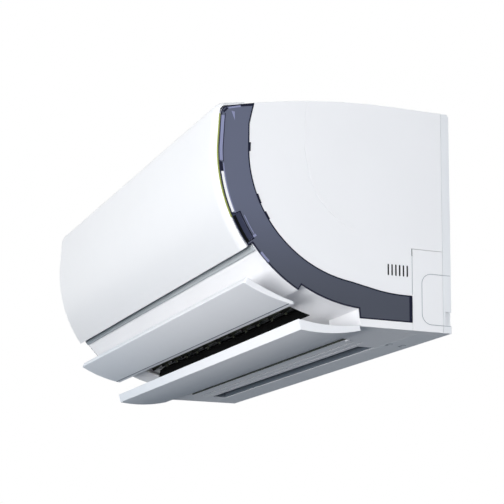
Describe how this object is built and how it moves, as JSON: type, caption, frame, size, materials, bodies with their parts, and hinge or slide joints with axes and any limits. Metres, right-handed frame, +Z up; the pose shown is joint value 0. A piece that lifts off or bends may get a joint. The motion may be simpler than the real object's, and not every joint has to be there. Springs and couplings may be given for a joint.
{
  "type": "mini split indoor unit",
  "caption": "Wall-mounted indoor air conditioner unit with a curved front panel, dark end trims, two air flaps, turning vanes and a crossflow fan.",
  "frame": {"origin": "on the wall plane, in the middle of the wall plate's four screw holes", "axes": "+X along the unit towards the control box end, +Y into the wall, +Z up"},
  "size_m": [0.798, 0.33, 0.3072],
  "materials": {
    "white_cover": "fine satin white moulding",
    "white_casing": "plain white moulding",
    "panel_gloss": "high gloss white",
    "flap_white": "satin white moulding",
    "dark_trim": "smoky slate blue, satin",
    "lens": "dark clear lens",
    "silver": "silver-grey paint",
    "dark_duct": "dark olive-grey moulding",
    "dark_fan": "black glass-filled plastic",
    "vane_dark": "black moulding",
    "filter": "grey mesh frame",
    "fins": "thin bare fins",
    "sheet_steel": "zinc-plated sheet",
    "zinc_plate": "zinc-plated sheet",
    "copper": "drawn copper tube",
    "brass": "turned brass",
    "rubber": "black rubber",
    "steel": "ground steel",
    "board": "green circuit board",
    "terminals": "cream moulding"
  },
  "bodies": {
    "casing": {"end_cover_right": "white_cover", "end_cover_left": "white_cover", "service_cover_right": "white_cover", "service_cover_left": "white_cover", "side_trim_right": "dark_trim", "side_trim_left": "dark_trim", "receiver_lens": "lens", "lower_cover": "white_cover", "silver_strip": "silver", "bottom_cover": "white_cover", "top_cover": "white_cover", "rear_casing": "white_casing", "inner_frame": "white_casing", "air_filter_left": "filter", "air_filter_right": "filter", "fin_pack_front_lower": "fins", "fin_pack_front_upper": "fins", "fin_pack_rear": "fins", "coil_plates": "sheet_steel", "hairpin_bends": "copper", "drain_pan": "dark_duct", "drain_spout": "dark_duct", "fan_bearing": "rubber", "fan_motor": "sheet_steel", "motor_clamp": "dark_duct", "hinge_bracket": "dark_duct", "vane_rail": "dark_duct", "wall_plate": "zinc_plate", "gas_pipe": "copper", "liquid_pipe": "copper", "flare_unions": "brass", "control_box": "sheet_steel", "box_lid": "sheet_steel", "circuit_board": "board", "terminal_block": "terminals", "room_sensor": "dark_duct", "flap_motors": "sheet_steel", "vane_motor": "sheet_steel"},
    "fan": {"crossflow_fan": "dark_fan", "fan_shafts": "steel"},
    "panel": {"front_panel": "panel_gloss", "panel_arms": "white_casing"},
    "upper_flap": {"upper_flap": "flap_white", "upper_flap_arms": "dark_duct"},
    "lower_flap": {"lower_flap": "flap_white", "lower_flap_pins": "dark_duct"},
    "vane_left_1": {"vane_left_1": "vane_dark"},
    "vane_left_2": {"vane_left_2": "vane_dark"},
    "vane_left_3": {"vane_left_3": "vane_dark"},
    "vane_left_4": {"vane_left_4": "vane_dark"},
    "vane_left_5": {"vane_left_5": "vane_dark"},
    "vane_left_6": {"vane_left_6": "vane_dark"},
    "vane_link_left": {"vane_link_left": "vane_dark"},
    "vane_right_1": {"vane_right_1": "vane_dark"},
    "vane_right_2": {"vane_right_2": "vane_dark"},
    "vane_right_3": {"vane_right_3": "vane_dark"},
    "vane_right_4": {"vane_right_4": "vane_dark"},
    "vane_right_5": {"vane_right_5": "vane_dark"},
    "vane_right_6": {"vane_right_6": "vane_dark"},
    "vane_link_right": {"vane_link_right": "vane_dark"}
  },
  "joints": [
    {"name": "fan_spin", "type": "hinge", "parent": "casing", "child": "fan", "pos_m": [0, -0.148, -0.009], "axis": [1, 0, 0], "continuous": true},
    {"name": "panel_hinge", "type": "hinge", "parent": "casing", "child": "panel", "pos_m": [0, -0.291, 0.116], "axis": [-1, 0, 0], "range_deg": [0, 60]},
    {"name": "upper_flap_hinge", "type": "hinge", "parent": "casing", "child": "upper_flap", "pos_m": [0, -0.20601, -0.11701], "axis": [1, 0, 0], "range_deg": [-20, 12]},
    {"name": "lower_flap_hinge", "type": "hinge", "parent": "casing", "child": "lower_flap", "pos_m": [0, -0.111, -0.1487], "axis": [1, 0, 0], "range_deg": [-18, 50]},
    {"name": "vane_left_1_turn", "type": "hinge", "parent": "casing", "child": "vane_left_1", "pos_m": [-0.0385, -0.15901, -0.11334], "axis": [0, -0.6179, 0.7863], "range_deg": [-31, 31]},
    {"name": "vane_left_2_turn", "type": "hinge", "parent": "casing", "child": "vane_left_2", "pos_m": [-0.0895, -0.15901, -0.11334], "axis": [0, -0.6179, 0.7863], "range_deg": [-31, 31]},
    {"name": "vane_left_3_turn", "type": "hinge", "parent": "casing", "child": "vane_left_3", "pos_m": [-0.1405, -0.15901, -0.11334], "axis": [0, -0.6179, 0.7863], "range_deg": [-31, 31]},
    {"name": "vane_left_4_turn", "type": "hinge", "parent": "casing", "child": "vane_left_4", "pos_m": [-0.1915, -0.15901, -0.11334], "axis": [0, -0.6179, 0.7863], "range_deg": [-31, 31]},
    {"name": "vane_left_5_turn", "type": "hinge", "parent": "casing", "child": "vane_left_5", "pos_m": [-0.2425, -0.15901, -0.11334], "axis": [0, -0.6179, 0.7863], "range_deg": [-31, 31]},
    {"name": "vane_left_6_turn", "type": "hinge", "parent": "casing", "child": "vane_left_6", "pos_m": [-0.2935, -0.15901, -0.11334], "axis": [0, -0.6179, 0.7863], "range_deg": [-31, 31]},
    {"name": "vane_link_left_slide", "type": "slide", "parent": "casing", "child": "vane_link_left", "axis": [1, 0, 0], "range_m": [-0.009, 0.009]},
    {"name": "vane_right_1_turn", "type": "hinge", "parent": "casing", "child": "vane_right_1", "pos_m": [0.0235, -0.15901, -0.11334], "axis": [0, -0.6179, 0.7863], "range_deg": [-31, 31]},
    {"name": "vane_right_2_turn", "type": "hinge", "parent": "casing", "child": "vane_right_2", "pos_m": [0.0745, -0.15901, -0.11334], "axis": [0, -0.6179, 0.7863], "range_deg": [-31, 31]},
    {"name": "vane_right_3_turn", "type": "hinge", "parent": "casing", "child": "vane_right_3", "pos_m": [0.1255, -0.15901, -0.11334], "axis": [0, -0.6179, 0.7863], "range_deg": [-31, 31]},
    {"name": "vane_right_4_turn", "type": "hinge", "parent": "casing", "child": "vane_right_4", "pos_m": [0.1765, -0.15901, -0.11334], "axis": [0, -0.6179, 0.7863], "range_deg": [-31, 31]},
    {"name": "vane_right_5_turn", "type": "hinge", "parent": "casing", "child": "vane_right_5", "pos_m": [0.2275, -0.15901, -0.11334], "axis": [0, -0.6179, 0.7863], "range_deg": [-31, 31]},
    {"name": "vane_right_6_turn", "type": "hinge", "parent": "casing", "child": "vane_right_6", "pos_m": [0.2785, -0.15901, -0.11334], "axis": [0, -0.6179, 0.7863], "range_deg": [-31, 31]},
    {"name": "vane_link_right_slide", "type": "slide", "parent": "casing", "child": "vane_link_right", "axis": [1, 0, 0], "range_m": [-0.009, 0.009]}
  ],
  "couplings": [
    {"joint": "vane_left_1_turn", "follows": "vane_link_left_slide", "rad_per_m": -58.178},
    {"joint": "vane_left_2_turn", "follows": "vane_link_left_slide", "rad_per_m": -58.178},
    {"joint": "vane_left_3_turn", "follows": "vane_link_left_slide", "rad_per_m": -58.178},
    {"joint": "vane_left_4_turn", "follows": "vane_link_left_slide", "rad_per_m": -58.178},
    {"joint": "vane_left_5_turn", "follows": "vane_link_left_slide", "rad_per_m": -58.178},
    {"joint": "vane_left_6_turn", "follows": "vane_link_left_slide", "rad_per_m": -58.178},
    {"joint": "vane_right_1_turn", "follows": "vane_link_right_slide", "rad_per_m": -58.178},
    {"joint": "vane_right_2_turn", "follows": "vane_link_right_slide", "rad_per_m": -58.178},
    {"joint": "vane_right_3_turn", "follows": "vane_link_right_slide", "rad_per_m": -58.178},
    {"joint": "vane_right_4_turn", "follows": "vane_link_right_slide", "rad_per_m": -58.178},
    {"joint": "vane_right_5_turn", "follows": "vane_link_right_slide", "rad_per_m": -58.178},
    {"joint": "vane_right_6_turn", "follows": "vane_link_right_slide", "rad_per_m": -58.178}
  ]
}
